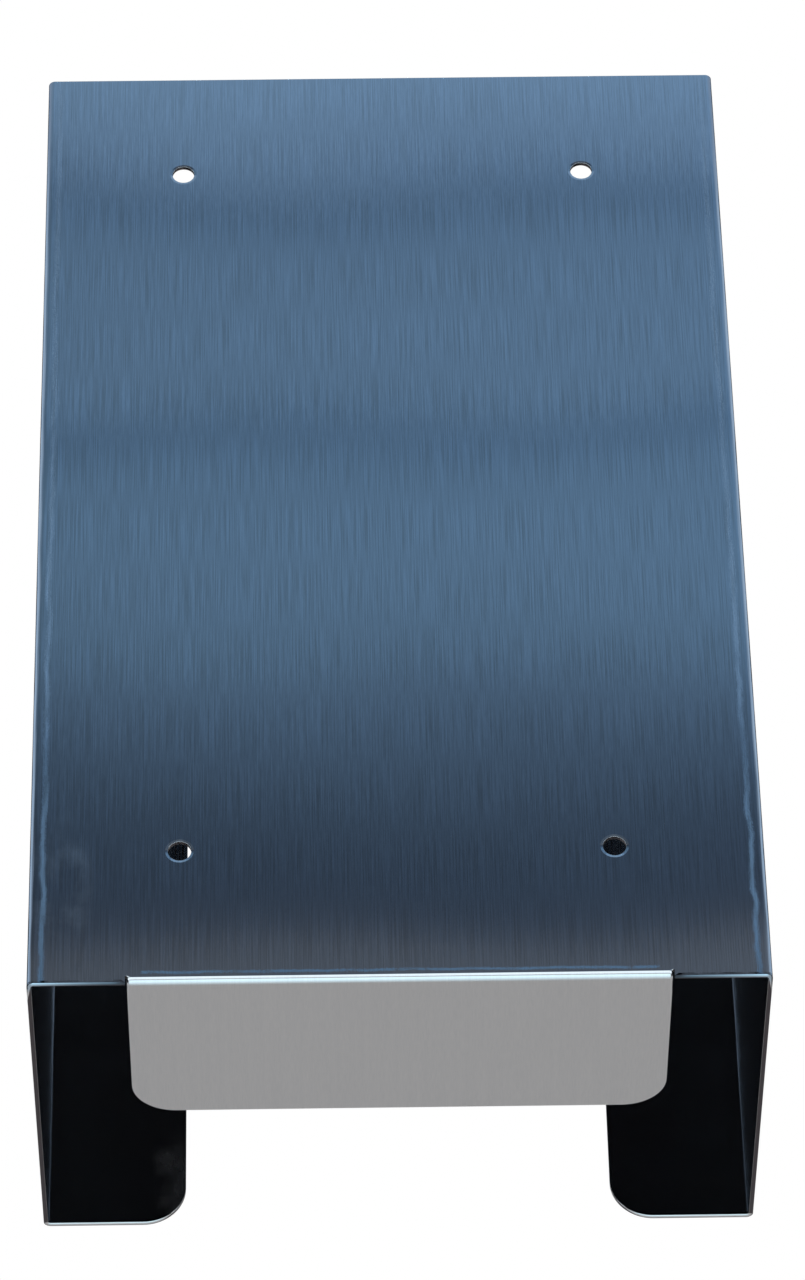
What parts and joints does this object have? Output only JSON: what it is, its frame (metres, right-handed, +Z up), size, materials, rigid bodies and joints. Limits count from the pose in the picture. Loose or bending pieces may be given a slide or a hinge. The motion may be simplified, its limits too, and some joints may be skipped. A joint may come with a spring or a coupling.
{
  "type": "disposable glove dispenser",
  "caption": "Open-fronted wall dispenser folded from brushed stainless sheet; inturned front lips and a bottom stop tab hold boxes of disposable gloves.",
  "frame": {"origin": "middle of the four wall screw holes, on the face that lies against the wall", "axes": "+Z up as hung, +Y into the wall, open front towards -Y, X across the width"},
  "size_m": [0.25, 0.145, 0.42],
  "materials": {
    "brushed_sheet": "stainless sheet brushed lengthwise, satin, with small scuffs and press marks beside the folds"
  },
  "bodies": {
    "root": {"dispenser_body": "brushed_sheet"}
  },
  "joints": []
}
